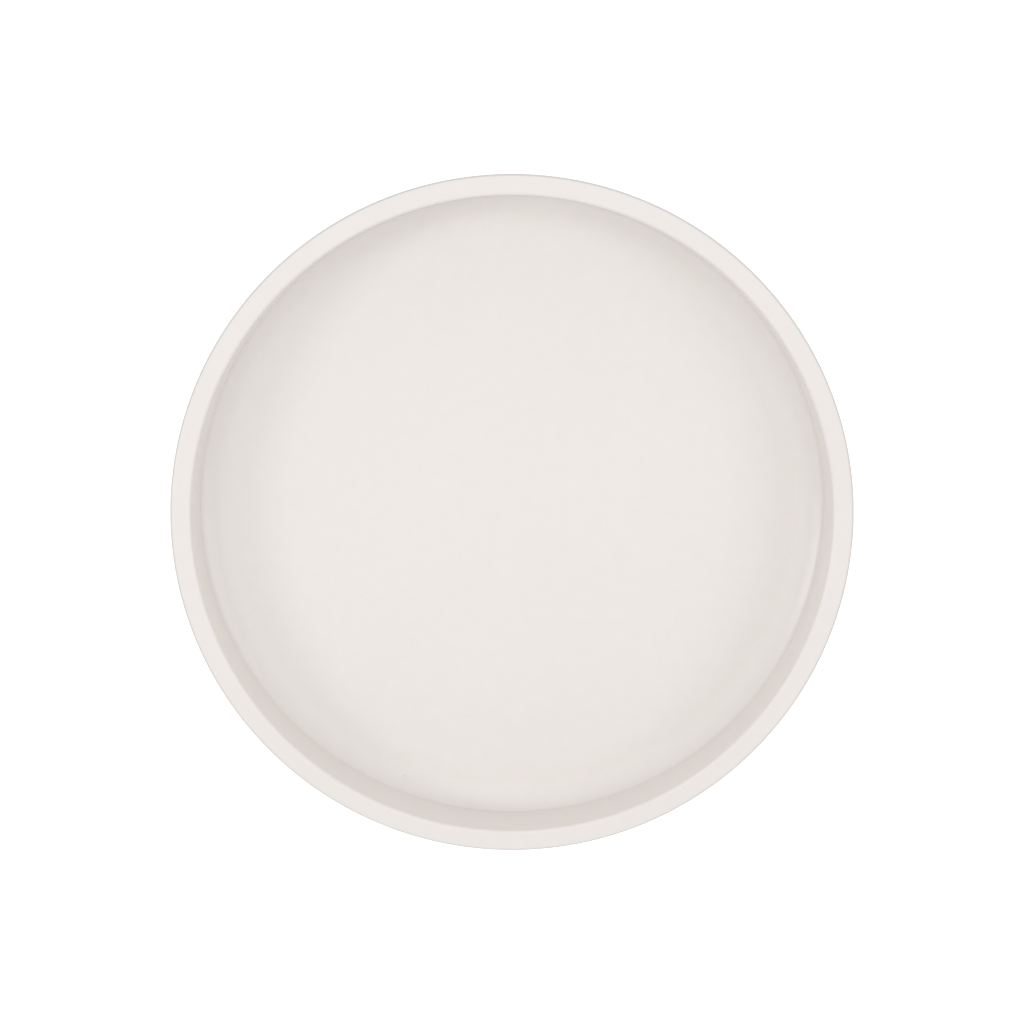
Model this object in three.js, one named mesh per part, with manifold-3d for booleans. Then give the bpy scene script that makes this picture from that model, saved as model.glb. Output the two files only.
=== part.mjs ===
// Lazy susan turntable: a moulded tray that turns on a ring of steel balls over a low round base.
// Millimetres, +Z up. The origin is on the turning axis, in the plane the rubber feet stand on.
//
// What moves:
//   tray, pivot_screw and pivot_washer turn together about Z without a stop.
//   ball_cage goes round the same axis at half the tray's speed.
//   ball_1 .. ball_12 go round with the cage, and each rolls about its own radial line.
//   base, pivot_bush, hub_cap and foot_1 .. foot_6 stay still.
import * as THREE from "three";
import { mergeVertices } from "three/addons/utils/BufferGeometryUtils.js";
import Module from "manifold-3d";

const wasm = await Module();
wasm.setup();

// ---- Sizes: the tray
const tray_diameter = 305;
const tray_depth = 36;
const tray_wall = 2.8;
const tray_floor = 2.6;
const wall_draft_deg = 1.2;
const cove_radius = 8;
const rim_width = 9.9;
const rim_thickness = 3;
const rim_drop = 6.5;
const rim_skirt_wall = 2.4;
const rim_inner_edge = 1.8;
const rim_outer_edge = 1.4;
const tray_rib_count = 12;
const tray_rib_thickness = 1.6;
const tray_rib_depth = 2.4;
const tray_rib_end_gap = 6;
const dust_skirt_wall = 1.8;

// ---- Sizes: the base
const base_diameter = 224;
const base_height = 8.4;
const base_wall = 2.2;
const base_edge_radius = 4;
const base_rib_count = 12;
const base_rib_thickness = 1.6;
const base_ring_rib_depth = 3;

// ---- Sizes: the ball race
const ball_count = 12;
const ball_diameter = 6;
const race_inset = 22;
const race_depth = 1.4;
const race_groove_margin = 0.5;
const race_wall = 2;
const race_land = 2.6;
const cage_band_width = 5;
const cage_band_thickness = 1.6;
const cage_collar_wall = 1.9;

// ---- Sizes: the pivot at the centre
const boss_diameter = 14;
const boss_shoulder_wall = 3.4;
const bush_wall = 1.5;
const bush_flange_width = 2.7;
const bush_flange_thickness = 1;
const hub_wall = 4;
const hub_rise = 2;
const washer_diameter = 23;
const washer_thickness = 0.9;
const screw_diameter = 4;
const screw_reach = 8.4;
const screw_head_diameter = 9;
const screw_head_height = 2.1;
const drive_slot_width = 1.1;
const drive_slot_length = 5.4;
const drive_slot_depth = 1;
const well_wall = 2.2;
const well_gap = 2;
const cap_thickness = 1.1;
const cap_ring_wall = 1.2;
const cap_ring_height = 2;

// ---- Sizes: the feet
const foot_count = 6;
const foot_diameter = 14;
const foot_height = 2.9;
const foot_proud = 1.5;
const foot_edge = 0.6;
const foot_inset = 1.3;
const foot_boss_wall = 1.4;

// ---- Clearances
const race_clearance = 0.2;
const pocket_clearance = 0.35;
const cage_clearance = 0.5;
const running_clearance = 0.3;
const seat_clearance = 0.3;
const washer_play = 0.6;
const screw_clearance = 0.3;
const screw_head_gap = 0.4;
const rib_cap_clearance = 0.9;
const shoulder_clearance = 0.7;
const dust_skirt_clearance = 1.2;
const dust_skirt_gap = 2;

// ---- How finely round pieces are divided
const around_large = 60;
const around_small = 30;
const around_foot = 20;
const around_ball = 12;

// ---- Heights and radii that follow from the sizes
const tray_radius = tray_diameter / 2;
const base_radius = base_diameter / 2;
const ball_radius = ball_diameter / 2;
const ball_line = base_radius - race_inset;

// Upwards through the race: base deck, ball line, tray track, tray floor, rim.
const deck_z = foot_proud + base_height;
const deck_under_z = deck_z - base_wall;
const ball_z = deck_z - race_depth + race_clearance + ball_radius;
const track_z = 2 * ball_z - deck_z;
const floor_under_z = track_z + race_depth + race_wall;
const floor_z = floor_under_z + tray_floor;
const rim_z = floor_z + tray_depth;

// Upwards through the pivot: hub cap, screw head, washer, hub seat, hub top, bush flange.
const cap_z = foot_proud;
const cap_top_z = cap_z + cap_thickness;
const head_z = cap_top_z + screw_head_gap;
const head_top_z = head_z + screw_head_height;
const washer_z = head_top_z + screw_clearance;
const washer_top_z = washer_z + washer_thickness;
const boss_end_z = washer_top_z + screw_clearance;
const hub_seat_z = washer_top_z + washer_play;
const hub_top_z = deck_z + hub_rise;
const flange_z = hub_top_z + seat_clearance;
const flange_top_z = flange_z + bush_flange_thickness;
const shoulder_z = flange_top_z + shoulder_clearance;

// Outwards from the axis: screw, boss, bush, hub, well.
const boss_radius = boss_diameter / 2;
const bush_inner = boss_radius + running_clearance;
const bush_outer = bush_inner + bush_wall;
const hub_bore = bush_outer + seat_clearance;
const hub_radius = hub_bore + hub_wall;
const well_bore = Math.max(washer_diameter / 2, hub_radius - 1.6) + well_gap;
const well_outer = well_bore + well_wall;

// The race and the skirt round it.
const groove_radius = ball_radius + race_groove_margin;
const groove_half = Math.sqrt(groove_radius ** 2 - (groove_radius - race_depth) ** 2);
const track_half = groove_half + race_land;
const dust_skirt_inner = ball_line + track_half + dust_skirt_gap;
const dust_skirt_outer = dust_skirt_inner + dust_skirt_wall;

// The tray's inner wall and the cove at its foot.
const draft = THREE.MathUtils.degToRad(wall_draft_deg);
const rim_inner = tray_radius - rim_width;
const cove_z = floor_z + cove_radius;
const cove_touch_z = cove_z - cove_radius * Math.sin(draft);
const wall_foot = rim_inner - (rim_z - cove_touch_z) * Math.tan(draft);
const cove_line = wall_foot - cove_radius * Math.cos(draft);

// The feet.
const foot_radius = foot_diameter / 2;
const foot_line = base_radius - base_wall - foot_inset - foot_radius;

// ---- Helpers
function solidOf(geometry) {
  const bare = new THREE.BufferGeometry();
  const source = geometry.index ? geometry.toNonIndexed() : geometry;
  bare.setAttribute("position", source.getAttribute("position"));
  const merged = mergeVertices(bare, 1e-4);
  const vertProperties = merged.attributes.position.array;
  const triVerts = new Uint32Array(merged.index.array);
  const solid = new wasm.Manifold(new wasm.Mesh({ numProp: 3, vertProperties, triVerts }));
  if (solid.volume() > 0) return solid;
  for (let i = 0; i < triVerts.length; i += 3) {
    [triVerts[i + 1], triVerts[i + 2]] = [triVerts[i + 2], triVerts[i + 1]];
  }
  return new wasm.Manifold(new wasm.Mesh({ numProp: 3, vertProperties, triVerts }));
}

// A solid turned about Z from points [radius, height] that start and end on the axis, or close.
function turned(points, around) {
  const outline = points.map(([r, z]) => new THREE.Vector2(r, z));
  return solidOf(new THREE.LatheGeometry(outline, around).rotateX(Math.PI / 2));
}

// The same for a ring, whose outline is closed here.
function ring(points, around) {
  return turned([...points, points[0]], around);
}

// Points along an arc, from angle a to angle b in degrees.
function arc(r0, z0, radius, a, b, steps) {
  const points = [];
  for (let i = 0; i <= steps; i++) {
    const t = THREE.MathUtils.degToRad(a + ((b - a) * i) / steps);
    points.push([r0 + radius * Math.cos(t), z0 + radius * Math.sin(t)]);
  }
  return points;
}

// An upright cylinder from height z0 to z1, at x, y.
function post(radius, z0, z1, around, x = 0, y = 0) {
  const shape = new THREE.CylinderGeometry(radius, radius, z1 - z0, around);
  shape.rotateX(Math.PI / 2);
  shape.translate(x, y, (z0 + z1) / 2);
  return solidOf(shape);
}

// A straight rib along the radius at angle a (radians), from r0 to r1 and z0 to z1.
function rib(r0, r1, thickness, z0, z1, a) {
  const shape = new THREE.BoxGeometry(r1 - r0, thickness, z1 - z0);
  shape.translate((r0 + r1) / 2, 0, (z0 + z1) / 2);
  shape.rotateZ(a);
  return solidOf(shape);
}

// The race groove's section across the ball line: side +1 opens upward, -1 opens downward.
function groove(face_z, side, steps) {
  const half = THREE.MathUtils.radToDeg(Math.asin(groove_half / groove_radius));
  const centre_z = face_z + side * (groove_radius - race_depth);
  if (side > 0) return arc(ball_line, centre_z, groove_radius, -90 - half, -90 + half, steps);
  return arc(ball_line, centre_z, groove_radius, 90 - half, 90 + half, steps);
}

const root = new THREE.Group();

function add(name, solid, colour, roughness, metalness) {
  const made = solid.getMesh();
  const stride = made.numProp;
  const position = new Float32Array(made.numVert * 3);
  for (let i = 0; i < made.numVert; i++) {
    position.set(made.vertProperties.subarray(i * stride, i * stride + 3), i * 3);
  }
  const geometry = new THREE.BufferGeometry();
  geometry.setAttribute("position", new THREE.BufferAttribute(position, 3));
  geometry.setIndex(new THREE.BufferAttribute(made.triVerts, 1));
  const look = new THREE.MeshStandardMaterial({ color: colour, roughness, metalness });
  const mesh = new THREE.Mesh(geometry, look);
  mesh.name = name;
  root.add(mesh);
}

// ---- The tray: one moulding with a flat lip, a return skirt, a coved floor and the upper track
function trayShell() {
  const points = [[0, floor_z]];
  points.push(...arc(cove_line, cove_z, cove_radius, -90, -wall_draft_deg, 4));
  const inner_edge_r = rim_inner + rim_inner_edge;
  points.push(...arc(inner_edge_r, rim_z - rim_inner_edge, rim_inner_edge, 180, 90, 3));
  const outer_edge_r = tray_radius - rim_outer_edge;
  points.push(...arc(outer_edge_r, rim_z - rim_outer_edge, rim_outer_edge, 90, 0, 3));
  points.push([tray_radius, rim_z - rim_drop + 0.6]);
  points.push([tray_radius - 0.6, rim_z - rim_drop]);
  points.push([tray_radius - rim_skirt_wall, rim_z - rim_drop]);
  points.push([tray_radius - rim_skirt_wall, rim_z - rim_thickness]);
  points.push([rim_inner + tray_wall, rim_z - rim_thickness]);
  points.push(...outerCorner(4));
  points.push([dust_skirt_outer, floor_under_z]);
  points.push([dust_skirt_outer, deck_z + dust_skirt_clearance]);
  points.push([dust_skirt_inner, deck_z + dust_skirt_clearance]);
  points.push([dust_skirt_inner, floor_under_z]);
  points.push([ball_line + track_half, floor_under_z]);
  points.push([ball_line + track_half, track_z]);
  points.push(...groove(track_z, -1, 5));
  points.push([ball_line - track_half, track_z]);
  points.push([ball_line - track_half, floor_under_z]);
  points.push([boss_radius + boss_shoulder_wall, floor_under_z]);
  points.push([boss_radius + boss_shoulder_wall, shoulder_z]);
  points.push([boss_radius, shoulder_z]);
  points.push([boss_radius, boss_end_z]);
  const pilot = screw_diameter / 2 + screw_clearance;
  const pilot_top_z = boss_end_z + screw_reach + screw_clearance;
  points.push([pilot, boss_end_z]);
  points.push([pilot, pilot_top_z]);
  points.push([0, pilot_top_z]);
  return turned(points, around_large);
}

// The outside of the corner between wall and floor, whose reach runs from the wall's to the floor's.
function outerCorner(steps) {
  const points = [];
  for (let i = 0; i <= steps; i++) {
    const t = i / steps;
    const a = THREE.MathUtils.degToRad(-wall_draft_deg + (wall_draft_deg - 90) * t);
    const reach = cove_radius + tray_wall * (1 - t) + tray_floor * t;
    points.push([cove_line + reach * Math.cos(a), cove_z + reach * Math.sin(a)]);
  }
  return points;
}

function tray() {
  let solid = trayShell();
  const low = floor_under_z - tray_rib_depth;
  const high = floor_under_z + tray_floor / 2;
  const spans = [
    [boss_radius + 1, ball_line - track_half + 1],
    [dust_skirt_outer - dust_skirt_wall / 2, cove_line - tray_rib_end_gap],
  ];
  for (let i = 0; i < tray_rib_count; i++) {
    const a = (2 * Math.PI * (i + 0.5)) / tray_rib_count;
    for (const [start, end] of spans) {
      solid = solid.add(rib(start, end, tray_rib_thickness, low, high, a));
    }
  }
  return solid;
}

// ---- The base: an upturned dish with the lower track, the hub, ribs and six foot cups
function baseShell() {
  const points = [[hub_bore, hub_seat_z]];
  points.push([hub_bore, hub_top_z]);
  points.push([hub_radius - 0.5, hub_top_z]);
  points.push([hub_radius, hub_top_z - 0.5]);
  points.push([hub_radius, deck_z]);
  points.push(...groove(deck_z, 1, 5));
  const edge_r = base_radius - base_edge_radius;
  const edge_z = deck_z - base_edge_radius;
  points.push(...arc(edge_r, edge_z, base_edge_radius, 90, 0, 3));
  points.push([base_radius, foot_proud]);
  points.push([base_radius - base_wall, foot_proud]);
  points.push(...arc(edge_r, edge_z, Math.max(base_edge_radius - base_wall, 0.2), 0, 90, 2));
  const bulge_z = deck_z - race_depth - base_wall;
  points.push([ball_line + track_half, deck_under_z]);
  points.push([ball_line + track_half - 1, bulge_z]);
  points.push([ball_line - track_half + 1, bulge_z]);
  points.push([ball_line - track_half, deck_under_z]);
  const ring_r = (ball_line - track_half + well_outer) / 2;
  points.push([ring_r + base_rib_thickness / 2, deck_under_z]);
  points.push([ring_r + base_rib_thickness / 2, deck_under_z - base_ring_rib_depth]);
  points.push([ring_r - base_rib_thickness / 2, deck_under_z - base_ring_rib_depth]);
  points.push([ring_r - base_rib_thickness / 2, deck_under_z]);
  points.push([well_outer, deck_under_z]);
  points.push([well_outer, cap_top_z + seat_clearance]);
  points.push([well_bore, cap_top_z + seat_clearance]);
  points.push([well_bore, hub_seat_z]);
  return ring(points, around_large);
}

function footPlace(i) {
  const a = (2 * Math.PI * i) / foot_count;
  return [foot_line * Math.cos(a), foot_line * Math.sin(a)];
}

function base() {
  let solid = baseShell();
  const rib_z = cap_top_z + rib_cap_clearance;
  for (let i = 0; i < base_rib_count; i++) {
    const a = (2 * Math.PI * i) / base_rib_count;
    const outer = base_radius - base_wall / 2;
    const height = deck_z - race_depth - base_wall / 2;
    solid = solid.add(rib(well_outer - 1, outer, base_rib_thickness, rib_z, height, a));
  }
  for (let i = 0; i < foot_count; i++) {
    const [x, y] = footPlace(i);
    const radius = foot_radius + seat_clearance + foot_boss_wall;
    const top = deck_z - race_depth - base_wall / 2;
    solid = solid.add(post(radius, foot_proud, top, around_foot, x, y));
  }
  for (let i = 0; i < foot_count; i++) {
    const [x, y] = footPlace(i);
    const seat_z = foot_height + seat_clearance;
    const radius = foot_radius + seat_clearance;
    solid = solid.subtract(post(radius, foot_proud - 1, seat_z, around_foot, x, y));
  }
  return solid;
}

function foot(i) {
  const [x, y] = footPlace(i);
  const points = [
    [0, 0],
    [foot_radius - foot_edge, 0],
    [foot_radius, foot_edge],
    [foot_radius, foot_height],
    [0, foot_height],
  ];
  return turned(points, around_foot).translate(x, y, 0);
}

// ---- The ball race
function cage() {
  const low = ball_z - cage_band_thickness / 2;
  const high = ball_z + cage_band_thickness / 2;
  const inner = ball_line - cage_band_width / 2;
  const outer = ball_line + cage_band_width / 2;
  let solid = ring([[inner, low], [outer, low], [outer, high], [inner, high]], around_large);
  const collar_low = deck_z + cage_clearance;
  const collar_high = track_z - cage_clearance;
  const pocket = ball_radius + pocket_clearance;
  for (let i = 0; i < ball_count; i++) {
    const a = (2 * Math.PI * i) / ball_count;
    const x = ball_line * Math.cos(a);
    const y = ball_line * Math.sin(a);
    const collar = post(pocket + cage_collar_wall, collar_low, collar_high, around_foot, x, y);
    solid = solid.add(collar);
  }
  for (let i = 0; i < ball_count; i++) {
    const a = (2 * Math.PI * i) / ball_count;
    const x = ball_line * Math.cos(a);
    const y = ball_line * Math.sin(a);
    solid = solid.subtract(post(pocket, collar_low - 1, collar_high + 1, around_foot, x, y));
  }
  return solid;
}

function ball(i) {
  const a = (2 * Math.PI * i) / ball_count;
  const shape = new THREE.SphereGeometry(ball_radius, around_ball, around_ball / 2);
  shape.rotateX(Math.PI / 2);
  shape.rotateZ(a);
  shape.translate(ball_line * Math.cos(a), ball_line * Math.sin(a), ball_z);
  return solidOf(shape);
}

// ---- The pivot
function bush() {
  const points = [
    [bush_inner, hub_seat_z],
    [bush_outer, hub_seat_z],
    [bush_outer, flange_z],
    [bush_outer + bush_flange_width, flange_z],
    [bush_outer + bush_flange_width, flange_top_z],
    [bush_inner, flange_top_z],
  ];
  return ring(points, around_small);
}

function washer() {
  const inner = screw_diameter / 2 + screw_clearance;
  const outer = washer_diameter / 2;
  return ring(
    [
      [inner, washer_z],
      [outer, washer_z],
      [outer, washer_top_z],
      [inner, washer_top_z],
    ],
    around_small,
  );
}

function screw() {
  const radius = screw_diameter / 2;
  const head = screw_head_diameter / 2;
  const tip_z = boss_end_z + screw_reach;
  const points = [
    [0, head_z],
    [head - 1, head_z],
    [head, head_z + 0.8],
    [head, head_top_z],
    [radius, head_top_z],
    [radius, tip_z - 1.2],
    [radius * 0.5, tip_z],
    [0, tip_z],
  ];
  let solid = turned(points, around_small);
  for (const a of [0, Math.PI / 2]) {
    const half = drive_slot_length / 2;
    const top = head_z + drive_slot_depth;
    solid = solid.subtract(rib(-half, half, drive_slot_width, head_z - 1, top, a));
  }
  return solid;
}

function hubCap() {
  const ring_outer = well_bore - seat_clearance;
  const points = [
    [0, cap_z],
    [well_outer - 0.5, cap_z],
    [well_outer, cap_z + 0.5],
    [well_outer, cap_top_z],
    [ring_outer, cap_top_z],
    [ring_outer, cap_top_z + cap_ring_height],
    [ring_outer - cap_ring_wall, cap_top_z + cap_ring_height],
    [ring_outer - cap_ring_wall, cap_top_z],
    [0, cap_top_z],
  ];
  return turned(points, around_small);
}

// ---- The assembly
const shell_colour = "#eee9e5";
const base_colour = "#d9d5d0";
const nylon = "#f2efe6";
const steel = "#c9ccd0";
const rubber = "#4a4a4a";

add("tray", tray(), shell_colour, 0.42, 0);
add("pivot_screw", screw(), steel, 0.35, 1);
add("pivot_washer", washer(), steel, 0.35, 1);
add("base", base(), base_colour, 0.5, 0);
add("pivot_bush", bush(), nylon, 0.45, 0);
add("hub_cap", hubCap(), base_colour, 0.5, 0);
for (let i = 0; i < foot_count; i++) {
  add(`foot_${i + 1}`, foot(i), rubber, 0.9, 0);
}
add("ball_cage", cage(), nylon, 0.45, 0);
for (let i = 0; i < ball_count; i++) {
  add(`ball_${i + 1}`, ball(i), steel, 0.15, 1);
}

export default root;
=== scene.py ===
"""Looks of the lazy susan turntable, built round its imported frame.

A coved tray with a flat lip turns on a ring of steel balls over a low ribbed
base that stands on rubber feet. Sizes in the dataclasses are millimetres, and
meshes are made in metres, with +Z up and the turning axis on Z.
"""

import logging
import math
from collections.abc import Mapping, Sequence
from dataclasses import dataclass, field
from enum import Enum
from typing import Any

import bmesh
import bpy
from mathutils import Matrix, Vector


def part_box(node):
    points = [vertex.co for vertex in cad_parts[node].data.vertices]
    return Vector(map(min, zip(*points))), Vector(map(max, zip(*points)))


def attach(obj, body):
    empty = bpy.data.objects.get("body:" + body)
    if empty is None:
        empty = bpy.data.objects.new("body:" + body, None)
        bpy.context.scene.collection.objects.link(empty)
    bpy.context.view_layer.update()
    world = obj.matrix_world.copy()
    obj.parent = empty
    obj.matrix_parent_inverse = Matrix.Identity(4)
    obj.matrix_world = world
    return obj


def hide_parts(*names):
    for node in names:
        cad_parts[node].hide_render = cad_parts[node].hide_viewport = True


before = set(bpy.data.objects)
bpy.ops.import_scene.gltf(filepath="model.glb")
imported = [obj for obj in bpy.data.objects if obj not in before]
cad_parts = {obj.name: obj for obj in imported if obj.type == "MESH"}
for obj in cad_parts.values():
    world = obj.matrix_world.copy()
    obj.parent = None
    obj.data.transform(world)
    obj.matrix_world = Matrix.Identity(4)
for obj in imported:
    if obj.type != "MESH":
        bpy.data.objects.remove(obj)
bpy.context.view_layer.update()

LOG = logging.getLogger("turntable")
MM = 0.001

Colour = tuple[float, float, float]
Point = tuple[float, float]
Place = tuple[float, float, float]


class Body(Enum):
    """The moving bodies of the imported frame."""

    BASE = "base"
    TRAY = "tray"
    CAGE = "ball_cage"


class Slot(Enum):
    """The record's material slots."""

    TRAY = "tray_plastic"
    BASE = "base_plastic"
    NYLON = "nylon"
    ZINC = "zinc_steel"
    BALL = "ball_steel"
    RUBBER = "foot_rubber"


# ---------------------------------------------------------------- node trees


class Graph:
    """A node tree with one way to add a node."""

    def __init__(self, tree: bpy.types.NodeTree) -> None:
        """Keeps the node tree to add to."""
        self.tree = tree

    def add(
        self,
        kind: str,
        settings: Mapping[str, Any] | None = None,
        inputs: Mapping[str | int, Any] | None = None,
    ) -> bpy.types.Node:
        """Adds one node.

        Args:
            kind: The node's type.
            settings: Its own settings, set first.
            inputs: A value, Val or socket for each input, by name or index.

        Returns:
            The new node.
        """
        node = self.tree.nodes.new(kind)
        for name, value in (settings or {}).items():
            setattr(node, name, value)
        for key, value in (inputs or {}).items():
            source = value.socket if isinstance(value, Val) else value
            if isinstance(source, bpy.types.NodeSocket):
                self.tree.links.new(source, node.inputs[key])
            else:
                node.inputs[key].default_value = source
        return node


class Val:
    """A socket that holds a number and takes part in Python sums."""

    def __init__(self, graph: Graph, socket: bpy.types.NodeSocket) -> None:
        """Keeps the output that gives the number, and the tree that takes the sums."""
        self.graph = graph
        self.socket = socket

    def math(self, operation: str, *values: Any) -> "Val":
        """Adds a Math node.

        Args:
            operation: The node's operation.
            values: The numbers or Vals that it works on, in order.

        Returns:
            Its result.
        """
        inputs = dict(enumerate(values))
        node = self.graph.add("ShaderNodeMath", {"operation": operation}, inputs)
        return Val(self.graph, node.outputs[0])

    def __add__(self, other: Any) -> "Val":
        """Adds."""
        return self.math("ADD", self, other)

    def __radd__(self, other: Any) -> "Val":
        """Adds, from the right."""
        return self.math("ADD", other, self)

    def __sub__(self, other: Any) -> "Val":
        """Subtracts."""
        return self.math("SUBTRACT", self, other)

    def __rsub__(self, other: Any) -> "Val":
        """Subtracts, from the right."""
        return self.math("SUBTRACT", other, self)

    def __mul__(self, other: Any) -> "Val":
        """Multiplies."""
        return self.math("MULTIPLY", self, other)

    def __rmul__(self, other: Any) -> "Val":
        """Multiplies, from the right."""
        return self.math("MULTIPLY", other, self)

    def __truediv__(self, other: Any) -> "Val":
        """Divides."""
        return self.math("DIVIDE", self, other)

    def __rtruediv__(self, other: Any) -> "Val":
        """Divides, from the right."""
        return self.math("DIVIDE", other, self)

    def __pow__(self, other: Any) -> "Val":
        """Raises to a power."""
        return self.math("POWER", self, other)

    def above(self, edge: float, width: float) -> "Val":
        """Rises from 0 to 1 over a width whose middle is the edge."""
        sloped = (self - (edge - width / 2)) / width
        return sloped.math("MINIMUM", sloped.math("MAXIMUM", sloped, 0.0), 1.0)


class Shader(Graph):
    """A material in the making, with a Principled shader."""

    def __init__(self, name: str) -> None:
        """Starts a material.

        Args:
            name: The material's name.
        """
        self.material = bpy.data.materials.new(name)
        self.material.use_nodes = True
        super().__init__(self.material.node_tree)
        self.tree.nodes.clear()
        self.surface = self.add("ShaderNodeBsdfPrincipled")
        self.add("ShaderNodeOutputMaterial", inputs={"Surface": self.surface.outputs[0]})
        self.place = self.add("ShaderNodeTexCoord").outputs["Object"]

    def fix(self, **constants: Any) -> None:
        """Sets the shader's own sockets, with underscores for spaces."""
        for name, value in constants.items():
            self.surface.inputs[name.replace("_", " ")].default_value = value

    def feed(self, name: str, source: Any) -> None:
        """Links what varies, a Val or a socket, to a socket of the shader."""
        socket = source.socket if isinstance(source, Val) else source
        self.tree.links.new(socket, self.surface.inputs[name])

    def noise(self, scale: float, detail: float = 2.0, rough: float = 0.5) -> Val:
        """Gives smooth noise from 0 to 1, with so many features in a metre."""
        inputs = {"Vector": self.place, "Scale": scale, "Detail": detail, "Roughness": rough}
        return Val(self, self.add("ShaderNodeTexNoise", inputs=inputs).outputs["Fac"])

    def cells(self, scale: float) -> tuple[Val, Val]:
        """Scatters cells over the piece.

        Args:
            scale: Cells in a metre.

        Returns:
            The distance to the nearest cell's middle, and a number of that cell's own.
        """
        inputs = {"Vector": self.place, "Scale": scale}
        node = self.add("ShaderNodeTexVoronoi", inputs=inputs)
        own = self.add("ShaderNodeSeparateXYZ", inputs={0: node.outputs["Color"]})
        return Val(self, node.outputs["Distance"]), Val(self, own.outputs["X"])

    def height(self) -> Val:
        """Gives the height above the ground, in metres."""
        return Val(self, self.add("ShaderNodeSeparateXYZ", inputs={0: self.place}).outputs["Z"])

    def radius(self) -> Val:
        """Gives the distance from the turning axis, in metres."""
        split = self.add("ShaderNodeSeparateXYZ", inputs={0: self.place}).outputs
        x, y = Val(self, split["X"]), Val(self, split["Y"])
        return (x * x + y * y) ** 0.5

    def mix(self, factor: Any, first: Any, second: Any) -> bpy.types.NodeSocket:
        """Mixes two colours.

        Args:
            factor: 0 for the first, 1 for the second.
            first: A colour or a socket.
            second: A colour or a socket.

        Returns:
            The mixed colour's socket.
        """
        ends = [(*c, 1.0) if isinstance(c, tuple) else c for c in (first, second)]
        node = self.add(
            "ShaderNodeMix", {"data_type": "RGBA"}, {0: factor, 6: ends[0], 7: ends[1]}
        )
        return node.outputs[2]

    def bump(self, height: Val, depth: float, strength: float = 1.0) -> None:
        """Gives the surface a relief, from 0 to 1, of a depth in metres."""
        inputs = {"Strength": strength, "Distance": depth, "Height": height}
        self.feed("Normal", self.add("ShaderNodeBump", inputs=inputs).outputs["Normal"])


# ------------------------------------------------------------------ finishes


@dataclass(frozen=True)
class TrayPlastic:
    """Warm off-white moulded plastic, satin, with faint flecks and painted shade along the lip's
    outer edge.
    """

    colour: Colour = (0.893, 0.859, 0.827)
    shade: Colour = (0.858, 0.824, 0.792)
    fleck: Colour = (0.60, 0.565, 0.53)
    # Painted shade: this darker colour is painted on the lip's outer edge, standing in for the
    # shade where the edge rounds down.
    line: Colour = (0.50, 0.47, 0.445)
    roughness: float = 0.24
    cloud_scale: float = 14.0
    mottle_scale: float = 150.0
    ripple_scale: float = 420.0
    grain_scale: float = 1300.0
    fleck_scale: float = 160.0
    fleck_size: float = 0.08
    fleck_rarity: float = 0.992
    fleck_strength: float = 0.35
    painted_shade_radius: float = 0.1518
    painted_shade_low: float = 0.0539
    painted_shade_strength: float = 0.65
    relief: float = 0.00001

    def build(self) -> bpy.types.Material:
        """Makes the material.

        Returns:
            The finished material.
        """
        shader = Shader("tray_plastic")
        cloud = shader.noise(self.cloud_scale, 3.0)
        mottle = shader.noise(self.mottle_scale, 2.0)
        grain = shader.noise(self.grain_scale, 2.0, 0.6)
        distance, own = shader.cells(self.fleck_scale)
        dots = (1.0 - distance.above(self.fleck_size, 0.05)) * own.above(self.fleck_rarity, 0.006)
        tone = 0.3 * cloud.above(0.5, 0.5) + 0.3 * mottle.above(0.5, 0.4)
        tone = tone + 0.3 * grain.above(0.55, 0.3)
        body = shader.mix(tone, self.colour, self.shade)
        body = shader.mix(dots * self.fleck_strength, body, self.fleck)
        # Painted shade: the lip's outer edge, above a set height, is darkened towards the line
        # colour to stand in for the shade where it rounds down.
        edge = shader.radius().above(self.painted_shade_radius, 0.0005)
        edge = edge * shader.height().above(self.painted_shade_low, 0.0006)
        shader.feed("Base Color", shader.mix(edge * self.painted_shade_strength, body, self.line))
        shader.feed("Roughness", self.roughness + 0.04 * cloud)
        shader.bump(grain + 0.5 * shader.noise(self.ripple_scale, 2.0), self.relief, 0.6)
        shader.fix(IOR=1.49)
        return shader.material


@dataclass(frozen=True)
class BasePlastic:
    """Pale warm grey plastic with the fine texture of an eroded mould."""

    colour: Colour = (0.66, 0.63, 0.60)
    shade: Colour = (0.60, 0.572, 0.545)
    roughness: float = 0.5

    def build(self) -> bpy.types.Material:
        """Makes the material.

        Returns:
            The finished material.
        """
        shader = Shader("base_plastic")
        cloud = shader.noise(20.0, 3.0)
        grain = shader.noise(2600.0, 1.0, 0.5)
        shader.feed("Base Color", shader.mix(0.6 * cloud + 0.25 * grain, self.colour, self.shade))
        shader.feed("Roughness", self.roughness + 0.1 * grain)
        shader.bump(grain, 0.00004, 0.7)
        shader.fix(IOR=1.49)
        return shader.material


@dataclass(frozen=True)
class Nylon:
    """Natural nylon, waxy and slightly yellow."""

    colour: Colour = (0.80, 0.775, 0.69)
    shade: Colour = (0.72, 0.69, 0.59)
    roughness: float = 0.42

    def build(self) -> bpy.types.Material:
        """Makes the material.

        Returns:
            The finished material.
        """
        shader = Shader("nylon")
        cloud = shader.noise(60.0, 3.0)
        shader.feed("Base Color", shader.mix(cloud, self.colour, self.shade))
        shader.feed("Roughness", self.roughness + 0.12 * shader.noise(900.0))
        shader.bump(shader.noise(1500.0), 0.00002, 0.5)
        shader.fix(IOR=1.53, Subsurface_Weight=0.1, Subsurface_Radius=(0.002, 0.0018, 0.0012))
        return shader.material


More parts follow.
